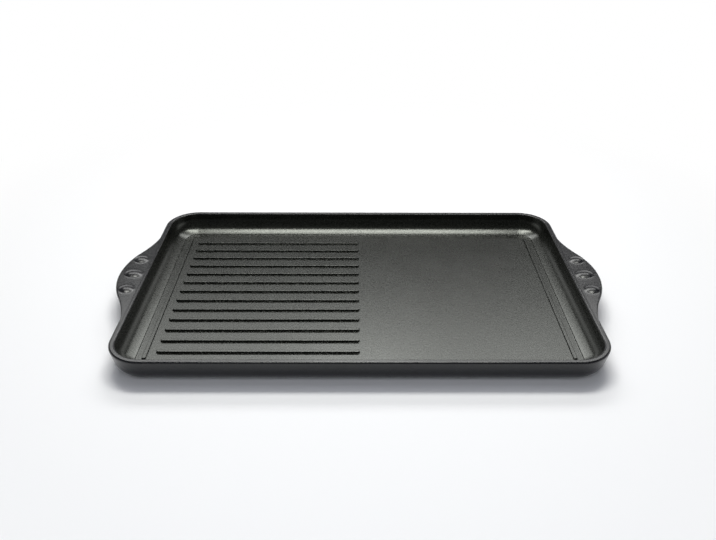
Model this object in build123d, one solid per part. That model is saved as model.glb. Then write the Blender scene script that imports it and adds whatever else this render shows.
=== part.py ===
"""Two-zone griddle plate: a cast tray with grill ribs on its left half and two side handles.

The tray is one casting. It is drawn here as the regions that its mould forms, each as its own
solid, and they meet face to face. +X is the length, +Y the side away from the user, +Z is up,
and the origin is the middle of the sole, on the surface that the plate rests on. Millimetres.
"""

import os
from math import asin, cos, radians, sin, tan

from build123d import *

# Tray outline, at the rim
RIM_LENGTH = 430.0
RIM_WIDTH = 280.0
RIM_CORNER_RADIUS = 32.6

# Tray section
HEIGHT = 25.0
FLOOR_THICKNESS = 5.0
RIM_TOP_WIDTH = 5.5
RIM_OUTER_ROUNDING = 1.6
RIM_INNER_ROUNDING = 3.0
INNER_WALL_DRAFT = 6.0
INNER_FILLET = 12.0
OUTER_WALL_DRAFT = 11.5
OUTER_LOWER_ROUNDING = 16.0

# Fine step where the inner fillet meets the cooking floor
STEP_HEIGHT = 0.8
STEP_FACE_DRAFT = 20.0
STEP_SHELF = 0.3
FLOOR_MARGIN = 1.5

# Fence ribs, one along each short side of the floor
FENCE_RIB_WIDTH = 3.6
FENCE_RIB_HEIGHT = 1.6
FENCE_RIB_GAP = 4.8
FENCE_RIB_END_GAP = 9.6

# Grill ribs, in rows on the left half of the floor
GRILL_RIB_COUNT = 13
GRILL_RIB_WIDTH = 4.0
GRILL_RIB_HEIGHT = 2.0
GRILL_RIB_END_GAP = 7.0
GRILL_ROW_MARGIN = 20.2

# Both kinds of rib
RIB_DRAFT = 18.0

# Handles, one flat ear on each short side
HANDLE_REACH = 21.3
HANDLE_LENGTH = 197.4
HANDLE_FLARE_SINK = 0.7
HANDLE_ROOT_DEPTH = 2.5
HANDLE_NOSE_RADIUS = 91.0
HANDLE_RISE = 0.7
HANDLE_THICKNESS = 4.5
HANDLE_ROOT_FILLET = 4.0
HANDLE_FILLET_SINK = 0.1
HANDLE_EDGE_ROUNDING = 1.6

# Grip bumps on the top of each handle
BUMP_SPACING = 28.0
BUMP_HEIGHT = 1.9
BUMP_WIDTH = 15.0
BUMP_SINK = 0.5
BUMP_SETBACK = 14.4
MIDDLE_BUMP_STRETCH = 2.6
MIDDLE_BUMP_SETBACK = 14.0


def wall_section(corners):
    """Face from (inset, level, rounding) corners; x is the distance from a rim corner's axis."""
    points = [(RIM_CORNER_RADIUS - inset, level) for inset, level, _ in corners]
    section = make_face(Polyline(*points, close=True))
    for (x, level), (_, _, rounding) in zip(points, corners):
        if rounding > 0:
            corner = section.vertices().sort_by_distance((x, level, 0))[0]
            section = fillet(corner, rounding)
    return Plane.XZ * section


def outer_corners():
    """Outside of the wall, from the sole up to the rim."""
    sole_edge = HEIGHT * tan(radians(OUTER_WALL_DRAFT))
    return [(sole_edge, 0.0, OUTER_LOWER_ROUNDING), (0.0, HEIGHT, RIM_OUTER_ROUNDING)]


def inner_corners():
    """Inside of the wall, from the rim down to the fine step and the edge of the floor."""
    step_foot = step_inset() + STEP_HEIGHT * tan(radians(STEP_FACE_DRAFT))
    return [
        (RIM_TOP_WIDTH, HEIGHT, RIM_INNER_ROUNDING),
        (wall_foot(), FLOOR_THICKNESS + STEP_HEIGHT, INNER_FILLET),
        (step_inset(), FLOOR_THICKNESS + STEP_HEIGHT, 0.0),
        (step_foot, FLOOR_THICKNESS, 0.0),
        (floor_inset(), FLOOR_THICKNESS, 0.0),
        (floor_inset(), 0.0, 0.0),
    ]


def wall_foot():
    """Inset at which the inner wall would meet the shelf, were there no fillet."""
    wall_height = HEIGHT - FLOOR_THICKNESS - STEP_HEIGHT
    return RIM_TOP_WIDTH + wall_height * tan(radians(INNER_WALL_DRAFT))


def step_inset():
    """Inset of the fine step, just past the end of the inner fillet."""
    fillet_reach = INNER_FILLET * tan(radians(90 - INNER_WALL_DRAFT) / 2)
    return wall_foot() + fillet_reach + STEP_SHELF


def floor_inset():
    """Inset of the edge of the flat floor."""
    return step_inset() + STEP_HEIGHT * tan(radians(STEP_FACE_DRAFT)) + FLOOR_MARGIN


def floor_size():
    """Length and width of the flat floor."""
    return RIM_LENGTH - 2 * floor_inset(), RIM_WIDTH - 2 * floor_inset()


def floor_outline():
    return RectangleRounded(*floor_size(), RIM_CORNER_RADIUS - floor_inset())


def around_tray(section):
    """Carries a wall section along the four straight sides and round the four corners."""
    straight_x = RIM_LENGTH - 2 * RIM_CORNER_RADIUS
    straight_y = RIM_WIDTH - 2 * RIM_CORNER_RADIUS
    ring = Part()
    for turn, along, across in ((0, straight_y, straight_x), (90, straight_x, straight_y)):
        to_corner = Pos(across / 2, along / 2, 0)
        side = to_corner * extrude(section, along, dir=(0, -1, 0))
        corner = to_corner * revolve(section, Axis.Z, 90)
        for half_turn in (0, 180):
            ring += Rot(0, 0, turn + half_turn) * side
            ring += Rot(0, 0, turn + half_turn) * corner
    return ring


def build_rim_wall():
    ring = around_tray(wall_section(outer_corners() + inner_corners()))
    return ring - handle_seat() - Rot(0, 0, 180) * handle_seat()


def build_floor():
    """Flat plate inside the wall: cooking floor on top, sole underneath."""
    return extrude(floor_outline(), FLOOR_THICKNESS)


def drafted_rib(length, width, height):
    """Raised rib on the floor, along X, with round ends and leaning sides."""
    return Pos(0, 0, FLOOR_THICKNESS) * extrude(SlotOverall(length, width), height, taper=RIB_DRAFT)


def fence_line():
    """Distance of each fence rib's middle line from the middle of the plate."""
    return floor_size()[0] / 2 - FENCE_RIB_GAP - FENCE_RIB_WIDTH / 2


def build_grill_ribs():
    """Rows of ribs, from the middle of the plate to just short of the left fence rib."""
    length = fence_line() - FENCE_RIB_WIDTH / 2 - GRILL_RIB_END_GAP
    rib = drafted_rib(length, GRILL_RIB_WIDTH, GRILL_RIB_HEIGHT)
    pitch = (floor_size()[1] - 2 * GRILL_ROW_MARGIN) / (GRILL_RIB_COUNT - 1)
    ribs = {}
    for row in range(GRILL_RIB_COUNT):
        offset = (row - (GRILL_RIB_COUNT - 1) / 2) * pitch
        ribs[f"grill_rib_{row + 1:02d}"] = Pos(-length / 2, offset, 0) * rib
    return ribs


def build_fence_ribs():
    """Long ribs that keep juices in the channel along each short side."""
    length = floor_size()[1] - 2 * FENCE_RIB_END_GAP
    rib = Rot(0, 0, 90) * drafted_rib(length, FENCE_RIB_WIDTH, FENCE_RIB_HEIGHT)
    return {
        "left_fence_rib": Pos(-fence_line(), 0, 0) * rib,
        "right_fence_rib": Pos(fence_line(), 0, 0) * rib,
    }


def wall_reach(level):
    """How far out the drafted wall stands at a level, on the short sides."""
    return RIM_LENGTH / 2 - (HEIGHT - level) * tan(radians(OUTER_WALL_DRAFT))


def handle_outline():
    """Bell-shaped plan of the right handle: a round nose that flares into the wall."""
    half = HANDLE_LENGTH / 2
    tip = RIM_LENGTH / 2 + HANDLE_REACH
    base = wall_reach(OUTER_LOWER_ROUNDING) - HANDLE_FLARE_SINK
    back = base - HANDLE_REACH
    reach = tip - base
    radii_sum = (reach**2 + half**2) / (2 * reach)
    flare_radius = radii_sum - HANDLE_NOSE_RADIUS
    nose_share = HANDLE_NOSE_RADIUS / radii_sum
    joint_x = tip - HANDLE_NOSE_RADIUS + nose_share * (radii_sum - reach)
    joint_y = nose_share * half
    half_turn = asin(half / radii_sum) / 2
    flare_x = base + flare_radius * (1 - cos(half_turn))
    flare_y = half - flare_radius * sin(half_turn)
    edges = Curve() + [
        ThreePointArc((base, half), (flare_x, flare_y), (joint_x, joint_y)),
        ThreePointArc((joint_x, joint_y), (tip, 0), (joint_x, -joint_y)),
        ThreePointArc((joint_x, -joint_y), (flare_x, -flare_y), (base, -half)),
        Polyline((base, -half), (back, -half), (back, half), (base, half)),
    ]
    return make_face(edges)


def handle_side():
    """Side view of the right handle: a flange, with a fillet beneath it that dips into the wall."""
    top = HEIGHT + HANDLE_RISE
    under = top - HANDLE_THICKNESS
    low = OUTER_LOWER_ROUNDING
    tip = RIM_LENGTH / 2 + HANDLE_REACH
    corner = (wall_reach(under) - HANDLE_FILLET_SINK, under)
    foot = (wall_reach(low) - HANDLE_FILLET_SINK, low)
    back = wall_reach(low) - HANDLE_REACH
    side = make_face(
        Polyline((back, top), (tip, top), (tip, under), corner, foot, (back, low), close=True)
    )
    inner_corner = side.vertices().sort_by_distance((*corner, 0))[0]
    return Plane.XZ * fillet(inner_corner, HANDLE_ROOT_FILLET)


def handle_seat():
    """Space of the right handle: from its root, just inside the wall, outwards."""
    depth = HANDLE_ROOT_DEPTH + HANDLE_REACH
    corner = (RIM_LENGTH / 2 - HANDLE_ROOT_DEPTH, -HANDLE_LENGTH / 2, OUTER_LOWER_ROUNDING)
    return Pos(*corner) * Box(depth, HANDLE_LENGTH, HEIGHT, align=Align.MIN)


def tray_block():
    """The tray's outside as a full block, which the handles grow out of."""
    inset = floor_inset()
    inside = [(inset, HEIGHT, 0.0), (inset, 0.0, 0.0)]
    return extrude(floor_outline(), HEIGHT) + around_tray(wall_section(outer_corners() + inside))


def bump(setback, offset, stretch):
    """Low round swelling on the handle's top, longer by the stretch across the handle.

    It is the cap of a ball, cut off just below the surface. The ball's poles lie level, off the
    handle, where they don't crowd the surface of the cap.
    """
    radius = ((BUMP_WIDTH / 2) ** 2 + BUMP_HEIGHT**2) / (2 * BUMP_HEIGHT)
    swelling = Rot(90, 0, 0) * Sphere(radius)
    if stretch:
        end = Pos(stretch / 2, 0, 0) * swelling
        core = Rot(0, 90, 0) * Cylinder(radius, stretch)
        swelling = end + core + mirror(end, about=Plane.YZ)
    slab = Pos(0, 0, radius - BUMP_HEIGHT - BUMP_SINK) * Box(
        2 * radius, 2 * radius, 2 * radius, align=(Align.CENTER, Align.CENTER, Align.MIN)
    )
    place = Pos(RIM_LENGTH / 2 + HANDLE_REACH - setback, offset, HEIGHT + HANDLE_RISE)
    return place * Pos(0, 0, BUMP_HEIGHT - radius) * (swelling & slab)


def build_right_handle():
    """Bell-shaped flange with a rounded upper edge and grip bumps, grown from the wall."""
    side = extrude(handle_side(), HANDLE_LENGTH / 2, both=True)
    ear = extrude(handle_outline(), HEIGHT + HANDLE_RISE) & side
    level_arcs = ear.edges().filter_by(GeomType.CIRCLE).filter_by(Plane.XY)
    ear = fillet(level_arcs.group_by(Axis.Z)[-1], HANDLE_EDGE_ROUNDING)
    handle = (tray_block() + ear) & handle_seat()
    handle += bump(MIDDLE_BUMP_SETBACK, 0, MIDDLE_BUMP_STRETCH)
    for offset in (-BUMP_SPACING, BUMP_SPACING):
        handle += bump(BUMP_SETBACK, offset, 0)
    return handle


if __name__ == "__main__":
    right_handle = build_right_handle()
    nodes = {
        "floor": build_floor(),
        "rim_wall": build_rim_wall(),
        **build_grill_ribs(),
        **build_fence_ribs(),
        "left_handle": Rot(0, 0, 180) * right_handle,
        "right_handle": right_handle,
    }
    os.makedirs("parts", exist_ok=True)
    for name, solid in nodes.items():
        export_step(solid, f"parts/{name}.step")
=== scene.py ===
"""Looks of a two-zone griddle plate: its pieces, coatings, floor, light and camera.

Every size is in metres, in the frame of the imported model: +X is the length, +Y the side away from
the user, +Z is up, and the origin is the middle of the sole. Each piece stands for the region of
the casting whose node it replaces.
"""

from math import asin, cos, pi, radians, sin, sqrt, tan

import bmesh
import bpy
from bpy.props import FloatProperty, FloatVectorProperty, IntProperty, PointerProperty
from bpy.types import Operator, Panel, PropertyGroup
from mathutils import Matrix, Vector


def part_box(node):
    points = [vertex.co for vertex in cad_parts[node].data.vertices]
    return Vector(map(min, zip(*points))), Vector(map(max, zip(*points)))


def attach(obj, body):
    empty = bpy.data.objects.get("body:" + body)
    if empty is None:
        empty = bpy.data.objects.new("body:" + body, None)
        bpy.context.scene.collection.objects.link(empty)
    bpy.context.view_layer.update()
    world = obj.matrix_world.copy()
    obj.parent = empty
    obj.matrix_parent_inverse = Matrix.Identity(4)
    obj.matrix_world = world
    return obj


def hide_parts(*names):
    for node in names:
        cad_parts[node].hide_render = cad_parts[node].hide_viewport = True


bl_info = {
    "name": "Griddle Plate",
    "version": (1, 0, 0),
    "blender": (4, 5, 0),
    "location": "View3D > Sidebar > Griddle",
    "description": "Models a two-zone griddle plate with its coatings, floor, light and camera",
    "category": "Add Mesh",
}

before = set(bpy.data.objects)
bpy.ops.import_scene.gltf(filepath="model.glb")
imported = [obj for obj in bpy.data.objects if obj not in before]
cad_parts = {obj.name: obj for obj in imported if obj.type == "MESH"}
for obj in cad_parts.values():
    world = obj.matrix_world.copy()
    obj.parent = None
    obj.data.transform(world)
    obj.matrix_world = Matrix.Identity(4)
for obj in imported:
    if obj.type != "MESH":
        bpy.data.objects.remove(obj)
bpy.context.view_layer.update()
floor_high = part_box("floor")[1]
handle_low, handle_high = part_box("right_handle")

# Places of a Mix node's two numbers, of its two colours, and of its colour result.
MIX_NUMBERS = (2, 3)
MIX_COLOURS = (6, 7)
MIX_COLOUR_RESULT = 2
# Two levels or places that are nearer than this are the same.
TOLERANCE = 1e-6
# Vertices that a mirror or a bevel leaves this near to each other are joined.
MIRROR_WELD = 0.00001
WALL_WELD = 0.000005
RIB_WELD = 0.00002
# Edges that fold more than this stay sharp.
SHARP_ANGLE = radians(32)
# Room left between the inside fillet's lower arc and the fine step's edge.
STEP_STRAIGHT = 0.0001
# Thin foot of a rib, sunk into the floor.
RIB_SKIRT = 0.0001
# Facets round each end of a rib.
RIB_END_STEPS = 10
# How far short of its tangent ends a handle stops, where its outline has sunk into the wall.
HANDLE_END_CUT = 0.013
# Cuts of a handle's mesh across its top and along the rim.
HANDLE_CUTS_ACROSS = 44
HANDLE_CUTS_ALONG = 319
# Largest share of a handle's reach that the rounding of its edge takes.
HANDLE_EDGE_SHARE = 0.7
# A grip bump reaches no further than this share of its ball's radius.
BUMP_REACH = 0.95
# Half the side of the square floor.
FLOOR_REACH = 6.0
# Width of the camera's sensor in millimetres.
SENSOR_WIDTH = 36.0


class TraySizes(PropertyGroup):
    """Outline and wall section of the tray."""

    length: FloatProperty(
        name="Length", description="Rim length, before its edge is rounded", default=0.430,
        unit="LENGTH", subtype="DISTANCE",
    )
    width: FloatProperty(
        name="Width", description="Rim width, before its edge is rounded", default=0.280,
        unit="LENGTH", subtype="DISTANCE",
    )
    height: FloatProperty(
        name="Height", description="Rim height over the sole", default=0.025,
        unit="LENGTH", subtype="DISTANCE",
    )
    corner_radius: FloatProperty(
        name="Corner Radius", description="Radius of the rim's corners in plan", default=0.0326,
        unit="LENGTH", subtype="DISTANCE",
    )
    corner_steps: IntProperty(
        name="Corner Steps", description="Facets round each corner of the tray", default=40,
    )
    floor_length: FloatProperty(
        name="Floor Length", description="Length of the flat floor", default=2 * floor_high.x,
        unit="LENGTH", subtype="DISTANCE",
    )
    floor_thickness: FloatProperty(
        name="Floor Thickness", description="Level of the floor over the sole",
        default=floor_high.z, unit="LENGTH", subtype="DISTANCE",
    )
    rim_top: FloatProperty(
        name="Rim Top", description="Width of the rim's top", default=0.0055,
        unit="LENGTH", subtype="DISTANCE",
    )
    rim_outer_rounding: FloatProperty(
        name="Outer Rounding", description="Rounding of the rim's outer edge", default=0.0016,
        unit="LENGTH", subtype="DISTANCE",
    )
    rim_inner_rounding: FloatProperty(
        name="Inner Rounding", description="Rounding of the rim's inner edge", default=0.0016,
        unit="LENGTH", subtype="DISTANCE",
    )
    outer_draft: FloatProperty(
        name="Outer Draft", description="Lean of the wall's outside", default=radians(11.5),
        subtype="ANGLE",
    )
    inner_draft: FloatProperty(
        name="Inner Draft", description="Lean of the wall's inside", default=radians(6),
        subtype="ANGLE",
    )
    lower_rounding: FloatProperty(
        name="Lower Rounding", description="Rounding of the outside down to the sole",
        default=0.016, unit="LENGTH", subtype="DISTANCE",
    )
    inner_fillet: FloatProperty(
        name="Inner Fillet", description="Radius of the inside fillet's flat lower arc",
        default=0.032, unit="LENGTH", subtype="DISTANCE",
    )
    shelf_slope: FloatProperty(
        name="Shelf Slope", description="Slope at which the fillet comes down to the fine step",
        default=radians(18.5), subtype="ANGLE",
    )
    ramp_slope: FloatProperty(
        name="Ramp Slope", description="Slope at which the inside fillet's two arcs meet",
        default=radians(32), subtype="ANGLE",
    )
    step_height: FloatProperty(
        name="Step Height", description="Height of the fine step round the floor",
        default=0.0008, unit="LENGTH", subtype="DISTANCE",
    )
    step_setback: FloatProperty(
        name="Step Setback", description="Distance from the floor's edge to the step's foot",
        default=0.0006, unit="LENGTH", subtype="DISTANCE",
    )
    step_lean: FloatProperty(
        name="Step Lean", description="Lean of the fine step's face", default=radians(20),
        subtype="ANGLE",
    )
    step_rounding: FloatProperty(
        name="Step Rounding", description="Rounding of the fine step's upper edge",
        default=0.0003, unit="LENGTH", subtype="DISTANCE",
    )
    step_fillet: FloatProperty(
        name="Step Fillet", description="Fillet between the fine step and the floor",
        default=0.0008, unit="LENGTH", subtype="DISTANCE",
    )


class RibSizes(PropertyGroup):
    """Section of the ribs that stand on the floor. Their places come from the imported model."""

    draft: FloatProperty(
        name="Draft", description="Lean of the ribs' sides", default=radians(9),
        subtype="ANGLE",
    )
    crest_rounding: FloatProperty(
        name="Crest Rounding", description="Rounding of the ribs' upper edges", default=0.0006,
        unit="LENGTH", subtype="DISTANCE",
    )
    root_fillet: FloatProperty(
        name="Root Fillet", description="Fillet between rib and floor", default=0.0003,
        unit="LENGTH", subtype="DISTANCE",
    )


class HandleSizes(PropertyGroup):
    """Plan and section of the ear handles."""

    tip: FloatProperty(
        name="Tip", description="Distance of the handle's nose from the middle of the plate",
        default=handle_high.x, unit="LENGTH", subtype="DISTANCE",
    )
    length: FloatProperty(
        name="Length", description="Length of a handle along the rim",
        default=handle_high.y - handle_low.y, unit="LENGTH", subtype="DISTANCE",
    )
    nose_radius: FloatProperty(
        name="Nose Radius", description="Radius of the handle's round nose in plan",
        default=0.091, unit="LENGTH", subtype="DISTANCE",
    )
    root_top: FloatProperty(
        name="Root Top", description="Level of the handle's top where it leaves the rim",
        default=0.02498, unit="LENGTH", subtype="DISTANCE",
    )
    rise: FloatProperty(
        name="Rise", description="How much higher the handle's top stands at its nose",
        default=0.0012, unit="LENGTH", subtype="DISTANCE",
    )
    thickness: FloatProperty(
        name="Thickness", description="Thickness of the handle's flange", default=0.0045,
        unit="LENGTH", subtype="DISTANCE",
    )
    upper_rounding: FloatProperty(
        name="Upper Rounding", description="Rounding of the handle's upper edge", default=0.0016,
        unit="LENGTH", subtype="DISTANCE",
    )
    lower_rounding: FloatProperty(
        name="Lower Rounding", description="Rounding of the handle's lower edge", default=0.0026,
        unit="LENGTH", subtype="DISTANCE",
    )
    root_fillet: FloatProperty(
        name="Root Fillet", description="Fillet between the handle's underside and the wall",
        default=0.004, unit="LENGTH", subtype="DISTANCE",
    )
    bump_radius: FloatProperty(
        name="Bump Radius", description="Radius of the ball that a grip bump is the cap of",
        default=0.01575, unit="LENGTH", subtype="DISTANCE",
    )
    bump_height: FloatProperty(
        name="Bump Height", description="Height of the grip bumps over the handle's top",
        default=0.0017, unit="LENGTH", subtype="DISTANCE",
    )
    bump_spacing: FloatProperty(
        name="Bump Spacing", description="Distance between the bumps' centres",
        default=0.028, unit="LENGTH", subtype="DISTANCE",
    )
    bump_setback: FloatProperty(
        name="Bump Setback", description="Distance from the nose to the outer bumps",
        default=0.0144, unit="LENGTH", subtype="DISTANCE",
    )
    middle_setback: FloatProperty(
        name="Middle Setback", description="Distance from the nose to the middle bump",
        default=0.014, unit="LENGTH", subtype="DISTANCE",
    )
    middle_stretch: FloatProperty(
        name="Middle Stretch", description="Extra length of the middle bump across the handle",
        default=0.0026, unit="LENGTH", subtype="DISTANCE",
    )
    bump_softness: FloatProperty(
        name="Bump Softness", description="How softly a bump's border runs into the handle",
        default=0.0004, unit="LENGTH", subtype="DISTANCE",
    )


class CoatingLooks(PropertyGroup):
    """Colours and grain of the two coatings."""

    cooking_dark: FloatVectorProperty(
        name="Cooking Dark", description="Darker tone of the inside coating", subtype="COLOR",
        size=3, default=(0.0030, 0.0033, 0.0026),
    )
    cooking_light: FloatVectorProperty(
        name="Cooking Light", description="Lighter tone of the inside coating", subtype="COLOR",
        size=3, default=(0.0110, 0.0117, 0.0098),
    )
    body_dark: FloatVectorProperty(
        name="Body Dark", description="Darker tone of the outside coating", subtype="COLOR",
        size=3, default=(0.0080, 0.0082, 0.0096),
    )
    body_light: FloatVectorProperty(
        name="Body Light", description="Lighter tone of the outside coating", subtype="COLOR",
        size=3, default=(0.0145, 0.0148, 0.0175),
    )
    cooking_tint: FloatVectorProperty(
        name="Cooking Tint", description="Tint of the inside coating's gloss", subtype="COLOR",
        size=3, default=(0.96, 1.0, 0.93),
    )
    body_tint: FloatVectorProperty(
        name="Body Tint", description="Tint of the outside coating's gloss", subtype="COLOR",
        size=3, default=(0.99, 1.0, 0.97),
    )
    cooking_roughness: FloatProperty(
        name="Cooking Roughness", description="Mean roughness of the inside coating",
        default=0.275, subtype="FACTOR",
    )
    body_roughness: FloatProperty(
        name="Body Roughness", description="Mean roughness of the outside coating",
        default=0.24, subtype="FACTOR",
    )
    cooking_refraction: FloatProperty(
        name="Cooking Refraction", description="Refraction index of the inside coating",
        default=1.6,
    )
    body_refraction: FloatProperty(
        name="Body Refraction", description="Refraction index of the outside coating",
        default=1.47,
    )
    roughness_spread: FloatProperty(
        name="Roughness Spread", description="How far the roughness varies either way",
        default=0.035, subtype="FACTOR",
    )
    cooking_grain: FloatProperty(
        name="Cooking Grain", description="Height of the inside coating's grain",
        default=0.000007, unit="LENGTH", subtype="DISTANCE", precision=6,
    )
    body_grain: FloatProperty(
        name="Body Grain", description="Height of the outside coating's grain",
        default=0.000004, unit="LENGTH", subtype="DISTANCE", precision=6,
    )
    grain_size: FloatProperty(
        name="Grain Size", description="Size of the finest grain", default=0.00045,
        unit="LENGTH", subtype="DISTANCE", precision=5,
    )
    speckle_size: FloatProperty(
        name="Speckle Size", description="Size of the speckles in tone and gloss",
        default=0.0017, unit="LENGTH", subtype="DISTANCE",
    )
    peel_size: FloatProperty(
        name="Peel Size", description="Size of the orange peel's waves", default=0.0022,
        unit="LENGTH", subtype="DISTANCE",
    )
    mottle_size: FloatProperty(
        name="Mottle Size", description="Size of the cloudy patches in tone and gloss",
        default=0.035, unit="LENGTH", subtype="DISTANCE",
    )


class StageLooks(PropertyGroup):
    """Floor, light and camera."""

    key_radiance: FloatProperty(
        name="Key Radiance", description="Brightness of the key light overhead", default=16.5,
    )
    overhead_radiance: FloatProperty(
        name="Overhead Radiance", description="Brightness of the wide softbox overhead",
        default=1.2,
    )
    front_radiance: FloatProperty(
        name="Front Radiance", description="Brightness of the softbox above the camera",
        default=1.35,
    )
    back_radiance: FloatProperty(
        name="Back Radiance", description="Brightness of the light behind the plate",
        default=4.0,
    )
    strip_radiance: FloatProperty(
        name="Strip Radiance", description="Brightness of the wide strip behind the plate",
        default=4.6,
    )
    room_light: FloatProperty(
        name="Room Light", description="Strength of the dim room above the backdrop",
        default=0.03,
    )
    room_front: FloatProperty(
        name="Room Front", description="Strength of the room low down in front of the plate",
        default=0.1,
    )
    backdrop_full: FloatProperty(
        name="Backdrop Full", description="Sine of the elevation up to which the backdrop is white",
        default=0.2,
    )
    backdrop_end: FloatProperty(
        name="Backdrop End", description="Sine of the elevation at which the backdrop has faded",
        default=0.4,
    )
    sides_full: FloatProperty(
        name="Sides Full", description="Y of a ray's way from which on it meets the white sides",
        default=-0.2,
    )
    sides_end: FloatProperty(
        name="Sides End", description="Y of a ray's way below which it meets the dim front",
        default=-0.6,
    )
    floor_colour: FloatVectorProperty(
        name="Floor Colour", description="Colour of the pale floor", subtype="COLOR", size=3,
        default=(0.86, 0.86, 0.87),
    )
    white_from: FloatProperty(
        name="White From", description="Distance at which the floor starts turning white",
        default=0.32, unit="LENGTH", subtype="DISTANCE",
    )
    white_to: FloatProperty(
        name="White To", description="Distance from which the floor is plain white",
        default=0.62, unit="LENGTH", subtype="DISTANCE",
    )
    lens: FloatProperty(
        name="Lens", description="Focal length of the camera in millimetres", default=35.93,
    )
    pitch: FloatProperty(
        name="Pitch", description="How far the camera looks down", default=radians(30.80),
        subtype="ANGLE",
    )
    yaw: FloatProperty(
        name="Yaw", description="How far the camera turns to the right", default=radians(0.33),
        subtype="ANGLE",
    )
    roll: FloatProperty(
        name="Roll", description="Tilt of the camera about its line of sight",
        default=radians(0.25), subtype="ANGLE",
    )
    camera_place: FloatVectorProperty(
        name="Camera Place", description="Where the camera stands", subtype="TRANSLATION",
        unit="LENGTH", size=3, default=(-0.00486, -0.60345, 0.39009),
    )


def add_node(tree, kind, inputs=None, **settings):
    """A shader node with its settings, and its inputs linked or set."""
    node = tree.nodes.new(kind)
    for name, value in settings.items():
        setattr(node, name, value)
    for name, value in (inputs or {}).items():
        if isinstance(value, bpy.types.NodeSocket):
            tree.links.new(value, node.inputs[name])
        else:
            node.inputs[name].default_value = value
    return node


def new_material(name):
    """A material that is ready for its nodes."""
    material = bpy.data.materials.new(name)
    material.use_nodes = True
    material.node_tree.nodes.clear()
    return material


def background_rays(tree, rays):
    """Is 1 for the rays that see the white background: camera, glossy and transmission."""
    seen = rays["Is Camera Ray"]
    for kind in ("Is Glossy Ray", "Is Transmission Ray"):
        seen = add_node(
            tree, "ShaderNodeMath", {0: seen, 1: rays[kind]}, operation="MAXIMUM"
        ).outputs["Value"]
    return seen


def coating_material(name, dark, light, roughness, refraction, grain_height, tint):
    """Sprayed coating: fine grain, orange peel and mottled gloss, on a dark charcoal tone."""
    if name in bpy.data.materials:
        return bpy.data.materials[name]
    looks = bpy.context.scene.coating_looks
    material = new_material(name)
    tree = material.node_tree
    place = add_node(tree, "ShaderNodeTexCoord").outputs["Object"]
    grain, speckle, peel, mottle = (
        add_node(
            tree, "ShaderNodeTexNoise",
            {"Vector": place, "Scale": 1 / size, "Detail": detail, "Roughness": 0.55},
        ).outputs["Fac"]
        for size, detail in (
            (looks.grain_size, 2.0), (looks.speckle_size, 2.0), (looks.peel_size, 1.0),
            (looks.mottle_size, 3.0),
        )
    )
    tone = add_node(
        tree, "ShaderNodeMapRange",
        {"Value": speckle, "From Min": 0.35, "From Max": 0.65, "To Min": 0.0, "To Max": 0.8},
    ).outputs["Result"]
    drift = add_node(
        tree, "ShaderNodeMapRange",
        {"Value": mottle, "From Min": 0.3, "From Max": 0.7, "To Min": -0.1, "To Max": 0.2},
    ).outputs["Result"]
    blend = add_node(
        tree, "ShaderNodeMath", {0: tone, 1: drift}, operation="ADD", use_clamp=True
    ).outputs["Value"]
    colour = add_node(
        tree, "ShaderNodeMix",
        {"Factor": blend, MIX_COLOURS[0]: (*dark, 1.0), MIX_COLOURS[1]: (*light, 1.0)},
        data_type="RGBA",
    ).outputs[MIX_COLOUR_RESULT]
    gloss = add_node(
        tree, "ShaderNodeMath", {0: mottle, 1: 0.3, 2: speckle}, operation="MULTIPLY_ADD"
    ).outputs["Value"]
    roughness_here = add_node(
        tree, "ShaderNodeMapRange",
        {
            "Value": gloss, "From Min": 0.4, "From Max": 0.9,
            "To Min": roughness - looks.roughness_spread,
            "To Max": roughness + looks.roughness_spread,
        },
    ).outputs["Result"]
    waves = add_node(
        tree, "ShaderNodeBump", {"Height": peel, "Distance": 4 * grain_height, "Strength": 1.0}
    ).outputs["Normal"]
    relief = add_node(
        tree, "ShaderNodeBump",
        {"Height": grain, "Distance": grain_height, "Strength": 1.0, "Normal": waves},
    ).outputs["Normal"]
    shader = add_node(
        tree, "ShaderNodeBsdfPrincipled",
        {
            "Base Color": colour, "Roughness": roughness_here, "IOR": refraction,
            "Specular Tint": (*tint, 1.0), "Normal": relief,
        },
    )
    output = add_node(tree, "ShaderNodeOutputMaterial")
    tree.links.new(shader.outputs["BSDF"], output.inputs["Surface"])
    return material


def cooking_coating():
    """Coating of the floor, the ribs and the wall's inside."""
    looks = bpy.context.scene.coating_looks
    return coating_material(
        "cooking_finish", looks.cooking_dark, looks.cooking_light, looks.cooking_roughness,
        looks.cooking_refraction, looks.cooking_grain, looks.cooking_tint,
    )


def body_coating():
    """Coating of the handles, the rim and the wall's outside."""
    looks = bpy.context.scene.coating_looks
    return coating_material(
        "body_finish", looks.body_dark, looks.body_light, looks.body_roughness,
        looks.body_refraction, looks.body_grain, looks.body_tint,
    )


def finish_piece(bm, name, node, materials):
    """Turns a bmesh into a smooth piece that replaces its node and rides on the casting."""
    bmesh.ops.recalc_face_normals(bm, faces=bm.faces)
    mesh = bpy.data.meshes.new(name)
    bm.to_mesh(mesh)
    bm.free()
    for material in materials:
        mesh.materials.append(material)
    mesh.shade_smooth()
    mesh.set_sharp_from_angle(angle=SHARP_ANGLE)
    piece = bpy.data.objects.new(name, mesh)
    bpy.context.scene.collection.objects.link(piece)
    weighted = piece.modifiers.new("Even Shading", "WEIGHTED_NORMAL")
    weighted.keep_sharp = True
    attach(piece, "root")
    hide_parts(node)


def upright_edges(bm):
    """Edges whose two ends lie over each other."""
    return [
        edge for edge in bm.edges
        if (edge.verts[0].co.xy - edge.verts[1].co.xy).length < TOLERANCE
    ]


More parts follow.
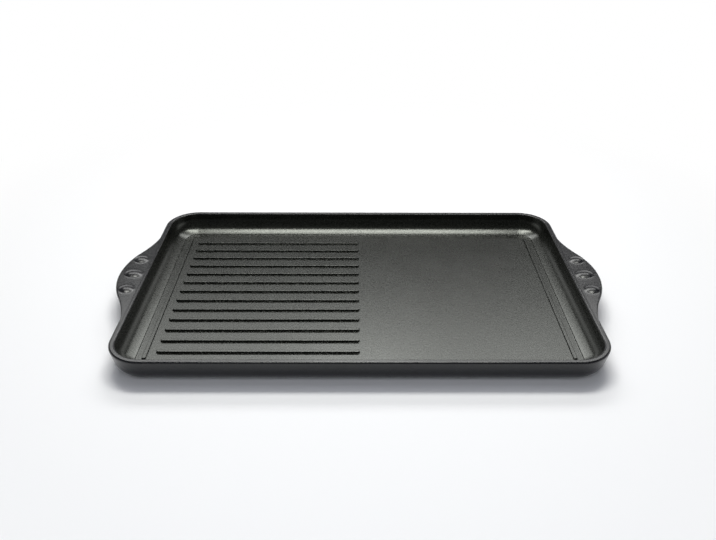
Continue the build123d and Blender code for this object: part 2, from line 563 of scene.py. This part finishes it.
def draw_section(bm, corners):
    """Closed wire in the XZ plane through (x, z, radius, steps) corners, with rounded corners."""
    verts = [bm.verts.new((x, 0, z)) for x, z, _, _ in corners]
    for here, there in zip(verts, verts[1:] + verts[:1]):
        bm.edges.new((here, there))
    for vert, (_, _, radius, steps) in zip(verts, corners):
        if radius:
            one, two = (edge.other_vert(vert).co - vert.co for edge in vert.link_edges)
            bmesh.ops.bevel(
                bm, geom=[vert], offset=radius / tan(one.angle(two) / 2), offset_type="OFFSET",
                segments=steps, profile=0.5, affect="VERTICES", material=-1,
            )
    return bm.edges[:]


def extrude_edges(bm, edges, step):
    """Extrudes edges by a step and returns the new edges at the far end."""
    grown = bmesh.ops.extrude_edge_only(bm, edges=edges)["geom"]
    bmesh.ops.translate(
        bm, vec=step, verts=[item for item in grown if isinstance(item, bmesh.types.BMVert)]
    )
    return [item for item in grown if isinstance(item, bmesh.types.BMEdge)]


def mirror_twice(bm):
    """Completes a quarter of the tray across both middle planes."""
    for axis in ("X", "Y"):
        bmesh.ops.mirror(
            bm, geom=bm.verts[:] + bm.edges[:] + bm.faces[:], matrix=Matrix.Identity(4),
            merge_dist=MIRROR_WELD, axis=axis,
        )
    bmesh.ops.remove_doubles(bm, verts=bm.verts, dist=WALL_WELD)


def wall_corners(tray):
    """Corners of the wall's section on the right side: outside, rim, inside, step and sole.

    Each corner is given as (x, z, radius of its rounding, facets of its rounding). The inside
    comes down in two arcs that meet on a ramp: a tight one under the rim and a flat one above
    the fine step.
    """
    outside = tray.length / 2
    sole_edge = outside - tray.height * tan(tray.outer_draft)
    rim_edge = outside - tray.rim_top
    floor_edge = tray.floor_length / 2
    step_foot = floor_edge + tray.step_setback
    step_edge = step_foot + tray.step_height * tan(tray.step_lean)
    shelf = tray.floor_thickness + tray.step_height
    lean = tan(tray.inner_draft)
    ramp = tan(tray.ramp_slope)
    lower_run = tray.inner_fillet * tan((tray.ramp_slope - tray.shelf_slope) / 2)
    lower_run += STEP_STRAIGHT
    foot_x = step_edge + lower_run * cos(tray.shelf_slope)
    foot_z = shelf + lower_run * sin(tray.shelf_slope)
    top_x = (rim_edge - (tray.height - foot_z + foot_x * ramp) * lean) / (1 - ramp * lean)
    top_z = foot_z + (top_x - foot_x) * ramp
    upper_run = sqrt((top_x - foot_x) ** 2 + (top_z - foot_z) ** 2) - lower_run
    upper_fillet = upper_run / tan((pi / 2 - tray.inner_draft - tray.ramp_slope) / 2)
    return [
        (sole_edge, 0.0, tray.lower_rounding, 20),
        (outside, tray.height, tray.rim_outer_rounding, 8),
        (rim_edge, tray.height, tray.rim_inner_rounding, 12),
        (top_x, top_z, upper_fillet, 16),
        (foot_x, foot_z, tray.inner_fillet, 14),
        (step_edge, shelf, tray.step_rounding, 4),
        (step_foot, tray.floor_thickness, tray.step_fillet, 5),
        (floor_edge, tray.floor_thickness, 0.0, 0),
        (floor_edge, 0.0, 0.0, 0),
    ]


class GRIDDLE_OT_floor(Operator):
    """Adds the flat cooking floor with its sole"""

    bl_idname = "griddle.floor"
    bl_label = "Cooking Floor"

    def execute(self, context):
        tray = context.scene.tray_sizes
        low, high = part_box("floor")
        inset = (tray.length - tray.floor_length) / 2
        bm = bmesh.new()
        bmesh.ops.create_cube(bm, size=1.0)
        bmesh.ops.scale(bm, vec=high - low, verts=bm.verts)
        bmesh.ops.translate(bm, vec=(low + high) / 2, verts=bm.verts)
        bmesh.ops.bevel(
            bm, geom=upright_edges(bm), offset=tray.corner_radius - inset,
            offset_type="OFFSET", segments=tray.corner_steps, profile=0.5, affect="EDGES",
            material=-1,
        )
        finish_piece(bm, "cooking_floor", "floor", [cooking_coating()])
        return {"FINISHED"}


class GRIDDLE_OT_wall(Operator):
    """Adds the wall, rim, inside fillet and fine step, all the way round"""

    bl_idname = "griddle.wall"
    bl_label = "Tray Wall"

    def execute(self, context):
        tray = context.scene.tray_sizes
        bm = bmesh.new()
        edges = draw_section(bm, wall_corners(tray))
        radius = tray.corner_radius
        straight_x = tray.length / 2 - radius
        straight_y = tray.width / 2 - radius
        edges = extrude_edges(bm, edges, (0, straight_y, 0))
        corner_verts = list({vert for edge in edges for vert in edge.verts})
        turned = bmesh.ops.spin(
            bm, geom=edges + corner_verts, cent=(straight_x, straight_y, 0), axis=(0, 0, 1),
            angle=pi / 2, steps=tray.corner_steps, use_merge=False,
        )["geom_last"]
        edges = [item for item in turned if isinstance(item, bmesh.types.BMEdge)]
        extrude_edges(bm, edges, (-straight_x, 0, 0))
        mirror_twice(bm)
        self.coat_inside(bm, tray)
        finish_piece(
            bm, "tray_wall", "rim_wall", [body_coating(), cooking_coating()]
        )
        return {"FINISHED"}

    def coat_inside(self, bm, tray):
        """Gives the faces inside the rim's inner edge the inside coating."""
        inner_x = tray.length / 2 - tray.rim_top
        inner_y = tray.width / 2 - tray.rim_top
        corner = tray.corner_radius - tray.rim_top
        for face in bm.faces:
            middle = face.calc_center_median()
            across = max(abs(middle.x) - (inner_x - corner), 0)
            along = max(abs(middle.y) - (inner_y - corner), 0)
            inside = sqrt(across**2 + along**2) < corner
            if inside and middle.z > tray.floor_thickness / 2:
                face.material_index = 1


def rib_profile(ribs, height):
    """Steps of (inset, rise) from the rib's root on the floor up to its crest."""
    steps = []
    root = ribs.root_fillet
    lean = tan(ribs.draft)
    for turn in (0.25, 0.5, 0.75, 1.0):
        angle = turn * (pi / 2 - ribs.draft)
        steps.append((root * sin(angle), root * (1 - cos(angle))))
    rounding = ribs.crest_rounding
    start = height - rounding * (1 - sin(ribs.draft))
    last_inset, last_level = steps[-1]
    side_inset = last_inset + (start - last_level) * lean
    steps.append((side_inset, start))
    for turn in (0.2, 0.4, 0.6, 0.8, 1.0):
        angle = ribs.draft + turn * (pi / 2 - ribs.draft)
        inset = side_inset + rounding * (cos(ribs.draft) - cos(angle))
        steps.append((inset, height - rounding * (1 - sin(angle))))
    return steps


def build_rib(context, name, node):
    """A cast rib that fills its node's box: leaning sides, round ends and a rounded crest."""
    ribs = context.scene.rib_sizes
    low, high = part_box(node)
    size = high - low
    width = min(size.x, size.y)
    root = ribs.root_fillet
    bm = bmesh.new()
    bmesh.ops.create_cube(bm, size=1.0)
    bmesh.ops.scale(
        bm, vec=(size.x + 2 * root, size.y + 2 * root, RIB_SKIRT), verts=bm.verts
    )
    bmesh.ops.translate(
        bm, vec=((low.x + high.x) / 2, (low.y + high.y) / 2, low.z - RIB_SKIRT / 2),
        verts=bm.verts,
    )
    bmesh.ops.bevel(
        bm, geom=upright_edges(bm), offset=width / 2 + root, offset_type="OFFSET",
        segments=RIB_END_STEPS, profile=0.5, affect="EDGES", material=-1,
    )
    bmesh.ops.remove_doubles(bm, verts=bm.verts, dist=RIB_WELD)
    done_inset = 0.0
    done_level = 0.0
    for inset, level in rib_profile(ribs, size.z):
        top = max(bm.faces, key=lambda face: face.calc_center_median().z)
        bmesh.ops.inset_region(
            bm, faces=[top], thickness=inset - done_inset, depth=level - done_level,
            use_even_offset=True, use_boundary=True,
        )
        done_inset, done_level = inset, level
    finish_piece(bm, name, node, [cooking_coating()])


class GRIDDLE_OT_grill_ribs(Operator):
    """Adds the rows of grill ribs on the left half of the floor"""

    bl_idname = "griddle.grill_ribs"
    bl_label = "Grill Ribs"

    def execute(self, context):
        nodes = sorted(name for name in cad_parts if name.startswith("grill_rib"))
        for row, node in enumerate(nodes, 1):
            build_rib(context, f"searing_rib_{row:02d}", node)
        return {"FINISHED"}


class GRIDDLE_OT_fence_ribs(Operator):
    """Adds the two long ribs beside the short walls"""

    bl_idname = "griddle.fence_ribs"
    bl_label = "Fence Ribs"

    def execute(self, context):
        for side in ("left", "right"):
            build_rib(context, f"{side}_juice_fence", f"{side}_fence_rib")
        return {"FINISHED"}


class HandlePlan:
    """Bell-shaped plan of a handle: how far out its outline stands, and how it slopes."""

    def __init__(self, handle):
        self.tip = handle.tip
        self.half = handle.length / 2
        self.base = handle_low.x
        self.nose = handle.nose_radius
        reach = self.tip - self.base
        self.radii_sum = (reach**2 + self.half**2) / (2 * reach)
        self.flare = self.radii_sum - self.nose
        self.joint = self.nose * self.half / self.radii_sum

    def outline(self, y):
        """Distance out and slope angle of the outline at y."""
        y = abs(y)
        if y < self.joint:
            angle = asin(y / self.nose)
            return self.tip - self.nose * (1 - cos(angle)), angle
        angle = asin((self.half - y) / self.flare)
        return self.base + self.flare * (1 - cos(angle)), angle


def bump_height(x, y, handle, tip):
    """How high the grip bumps stand at a point of the handle's top, with soft borders."""
    radius = handle.bump_radius
    height = handle.bump_height
    highest = 0.0
    for row in (-1, 0, 1):
        setback = handle.bump_setback if row else handle.middle_setback
        stretch = 0.0 if row else handle.middle_stretch / 2
        away = max(abs(x - (tip - setback)) - stretch, 0.0)
        distance = sqrt(away**2 + (y - row * handle.bump_spacing) ** 2)
        if distance < radius * BUMP_REACH:
            rise = sqrt(radius**2 - distance**2) - (radius - height)
            highest = max(highest, (rise + sqrt(rise**2 + handle.bump_softness**2)) / 2)
    return min(highest, height)


class GRIDDLE_OT_handles(Operator):
    """Adds the two ear handles with their grip bumps"""

    bl_idname = "griddle.handles"
    bl_label = "Ear Handles"

    def execute(self, context):
        for side in ("right", "left"):
            bm = self.shape_handle(context)
            if side == "left":
                bmesh.ops.rotate(
                    bm, cent=(0, 0, 0), matrix=Matrix.Rotation(pi, 3, "Z"), verts=bm.verts
                )
            finish_piece(
                bm, f"{side}_ear", f"{side}_handle", [body_coating()]
            )
        return {"FINISHED"}

    def shape_handle(self, context):
        """Draws the handle's section, carries it along the rim and bends it to the plan."""
        handle = context.scene.handle_sizes
        tray = context.scene.tray_sizes
        plan = HandlePlan(handle)
        top = handle.root_top
        under = top - handle.thickness
        low = handle_low.z
        wall_under = tray.length / 2 - (tray.height - under) * tan(tray.outer_draft)
        wall_low = tray.length / 2 - (tray.height - low) * tan(tray.outer_draft)
        bm = bmesh.new()
        draw_section(bm, [
            (plan.base, top, 0.0, 0),
            (plan.tip, top, handle.upper_rounding, 8),
            (plan.tip, under, handle.lower_rounding, 10),
            (wall_under, under, handle.root_fillet, 10),
            (wall_low, low, 0.0, 0),
            (plan.base, low, 0.0, 0),
        ])
        top_edge = [e for e in bm.edges if min(v.co.z for v in e.verts) > top - TOLERANCE]
        bmesh.ops.subdivide_edges(bm, edges=top_edge, cuts=HANDLE_CUTS_ACROSS)
        ends = plan.half - HANDLE_END_CUT
        bmesh.ops.translate(bm, vec=(0, -ends, 0), verts=bm.verts)
        extrude_edges(bm, bm.edges[:], (0, 2 * ends, 0))
        lengthwise = [e for e in bm.edges if abs(e.verts[0].co.y - e.verts[1].co.y) > ends]
        bmesh.ops.subdivide_edges(
            bm, edges=lengthwise, cuts=HANDLE_CUTS_ALONG, use_grid_fill=True
        )
        bmesh.ops.holes_fill(bm, edges=[e for e in bm.edges if e.is_boundary])
        edge = handle.lower_rounding
        edge_start = plan.tip - edge
        for vert in bm.verts:
            reach, slope = plan.outline(vert.co.y)
            rounding = min(edge / cos(slope), HANDLE_EDGE_SHARE * (reach - plan.base))
            on_top = vert.co.z > top - TOLERANCE
            if vert.co.x <= edge_start + TOLERANCE:
                share = (vert.co.x - plan.base) / (edge_start - plan.base)
                vert.co.x = plan.base + share * (reach - rounding - plan.base)
            else:
                share = (vert.co.x - edge_start) / edge
                vert.co.x = reach - rounding + share * rounding
            out = (vert.co.x - plan.base) / (plan.tip - plan.base)
            if on_top:
                vert.co.z += bump_height(vert.co.x, vert.co.y, handle, plan.tip)
            if vert.co.z > low + TOLERANCE:
                vert.co.z += handle.rise * (1 - (1 - max(out, 0.0)) ** 2)
        return bm


class GRIDDLE_OT_stage(Operator):
    """Adds the floor, the light, the room and the camera"""

    bl_idname = "griddle.stage"
    bl_label = "Stage"

    def execute(self, context):
        looks = context.scene.stage_looks
        self.add_floor(context, looks)
        self.add_room(context, looks)
        warm, plain, cool = (1.0, 1.0, 0.96), (1.0, 1.0, 1.0), (0.90, 0.93, 1.0)
        # Each lamp faces the middle of the plate. Its lean is in degrees behind the zenith.
        for name, colour, radiance, lean, distance, size, shines in (
            ("key", warm, looks.key_radiance, 14.5, 1.3, (0.85, 0.26), True),
            ("overhead_fill", cool, looks.overhead_radiance, -1.0, 1.3, (1.2, 0.6), False),
            ("front_fill", cool, looks.front_radiance, -48.0, 1.3, (1.5, 0.9), False),
            ("back", plain, looks.back_radiance, 40.0, 1.3, (0.3, 0.3), True),
            ("back_strip", plain, looks.strip_radiance, 45.5, 2.6, (2.7, 0.64), True),
        ):
            light = bpy.data.lights.new(name, "AREA")
            light.shape = "RECTANGLE"
            light.size, light.size_y = size
            light.color = colour
            light.energy = radiance * pi * light.size * light.size_y
            lamp = bpy.data.objects.new(name, light)
            turn = Matrix.Rotation(radians(-lean), 4, "X")
            lamp.matrix_world = turn @ Matrix.Translation((0, 0, distance))
            lamp.visible_glossy = shines
            context.scene.collection.objects.link(lamp)
        self.add_camera(context, looks)
        context.scene.view_settings.view_transform = "Standard"
        return {"FINISHED"}

    def add_floor(self, context, looks):
        """Pale floor that keeps the plate's shadow and turns plain white further out."""
        bm = bmesh.new()
        bmesh.ops.create_grid(bm, x_segments=1, y_segments=1, size=FLOOR_REACH)
        mesh = bpy.data.meshes.new("pale_floor")
        bm.to_mesh(mesh)
        bm.free()
        material = new_material("pale_floor")
        tree = material.node_tree
        matt = add_node(
            tree, "ShaderNodeBsdfDiffuse", {"Color": (*looks.floor_colour, 1.0)}
        ).outputs["BSDF"]
        white = add_node(
            tree, "ShaderNodeEmission", {"Color": (1, 1, 1, 1), "Strength": 1.0}
        ).outputs["Emission"]
        place = add_node(tree, "ShaderNodeTexCoord").outputs["Object"]
        away = add_node(
            tree, "ShaderNodeVectorMath", {0: place}, operation="LENGTH"
        ).outputs["Value"]
        far = add_node(
            tree, "ShaderNodeMapRange",
            {
                "Value": away, "From Min": looks.white_from, "From Max": looks.white_to,
                "To Min": 0.0, "To Max": 1.0,
            },
            interpolation_type="SMOOTHSTEP",
        ).outputs["Result"]
        seen = background_rays(tree, add_node(tree, "ShaderNodeLightPath").outputs)
        share = add_node(
            tree, "ShaderNodeMath", {0: far, 1: seen}, operation="MULTIPLY"
        ).outputs["Value"]
        mixed = add_node(tree, "ShaderNodeMixShader", {0: share, 1: matt, 2: white})
        output = add_node(tree, "ShaderNodeOutputMaterial")
        tree.links.new(mixed.outputs["Shader"], output.inputs["Surface"])
        mesh.materials.append(material)
        floor = bpy.data.objects.new("pale_floor", mesh)
        context.scene.collection.objects.link(floor)

    def add_room(self, context, looks):
        """Dim room with a plain white backdrop low down.

        The camera sees the backdrop all round. Glossy and transmission rays see it behind the
        plate and at its sides, and the dim room in front.
        """
        world = bpy.data.worlds.new("room")
        world.use_nodes = True
        tree = world.node_tree
        tree.nodes.clear()
        way = add_node(tree, "ShaderNodeTexCoord").outputs["Generated"]
        parts = add_node(tree, "ShaderNodeSeparateXYZ", {"Vector": way}).outputs
        behind = add_node(
            tree, "ShaderNodeMapRange",
            {
                "Value": parts["Y"], "From Min": looks.sides_end, "From Max": looks.sides_full,
                "To Min": looks.room_front, "To Max": 1.0,
            },
            interpolation_type="SMOOTHSTEP",
        ).outputs["Result"]
        rays = add_node(tree, "ShaderNodeLightPath").outputs
        low_down = add_node(
            tree, "ShaderNodeMath", {0: behind, 1: rays["Is Camera Ray"]}, operation="MAXIMUM"
        ).outputs["Value"]
        backdrop = add_node(
            tree, "ShaderNodeMapRange",
            {
                "Value": parts["Z"], "From Min": looks.backdrop_full,
                "From Max": looks.backdrop_end, "To Min": low_down, "To Max": looks.room_light,
            },
            interpolation_type="SMOOTHSTEP",
        ).outputs["Result"]
        strength = add_node(
            tree, "ShaderNodeMix",
            {
                "Factor": background_rays(tree, rays), MIX_NUMBERS[0]: looks.room_light,
                MIX_NUMBERS[1]: backdrop,
            },
        ).outputs[0]
        background = add_node(
            tree, "ShaderNodeBackground", {"Color": (1, 1, 1, 1), "Strength": strength}
        )
        output = add_node(tree, "ShaderNodeOutputWorld")
        tree.links.new(background.outputs["Background"], output.inputs["Surface"])
        context.scene.world = world

    def add_camera(self, context, looks):
        """Camera at the photograph's viewing angle."""
        data = bpy.data.cameras.new("camera")
        data.lens = looks.lens
        data.sensor_width = SENSOR_WIDTH
        camera = bpy.data.objects.new("camera", data)
        camera.matrix_world = (
            Matrix.Translation(Vector(looks.camera_place))
            @ Matrix.Rotation(-looks.yaw, 4, "Z")
            @ Matrix.Rotation(pi / 2 - looks.pitch, 4, "X")
            @ Matrix.Rotation(looks.roll, 4, "Z")
        )
        context.scene.collection.objects.link(camera)
        context.scene.camera = camera


OPERATORS = (
    GRIDDLE_OT_floor,
    GRIDDLE_OT_wall,
    GRIDDLE_OT_grill_ribs,
    GRIDDLE_OT_fence_ribs,
    GRIDDLE_OT_handles,
    GRIDDLE_OT_stage,
)


class GRIDDLE_PT_panel(Panel):
    """Lists the griddle plate's pieces"""

    bl_idname = "GRIDDLE_PT_panel"
    bl_label = "Griddle Plate"
    bl_space_type = "VIEW_3D"
    bl_region_type = "UI"
    bl_category = "Griddle"

    def draw(self, context):
        for operator in OPERATORS:
            self.layout.operator(operator.bl_idname)


GROUPS = {
    "tray_sizes": TraySizes,
    "rib_sizes": RibSizes,
    "handle_sizes": HandleSizes,
    "coating_looks": CoatingLooks,
    "stage_looks": StageLooks,
}


def register():
    """Registers the classes and hangs their settings on the scene."""
    for group in GROUPS.values():
        bpy.utils.register_class(group)
    for operator in OPERATORS:
        bpy.utils.register_class(operator)
    bpy.utils.register_class(GRIDDLE_PT_panel)
    for name, group in GROUPS.items():
        setattr(bpy.types.Scene, name, PointerProperty(type=group))


def unregister():
    """Takes the settings and the classes away again."""
    for name in GROUPS:
        delattr(bpy.types.Scene, name)
    bpy.utils.unregister_class(GRIDDLE_PT_panel)
    for operator in reversed(OPERATORS):
        bpy.utils.unregister_class(operator)
    for group in reversed(GROUPS.values()):
        bpy.utils.unregister_class(group)


def main():
    """Builds every piece and the stage."""
    register()
    bpy.ops.griddle.floor()
    bpy.ops.griddle.wall()
    bpy.ops.griddle.grill_ribs()
    bpy.ops.griddle.fence_ribs()
    bpy.ops.griddle.handles()
    bpy.ops.griddle.stage()


if __name__ == "__main__":
    main()
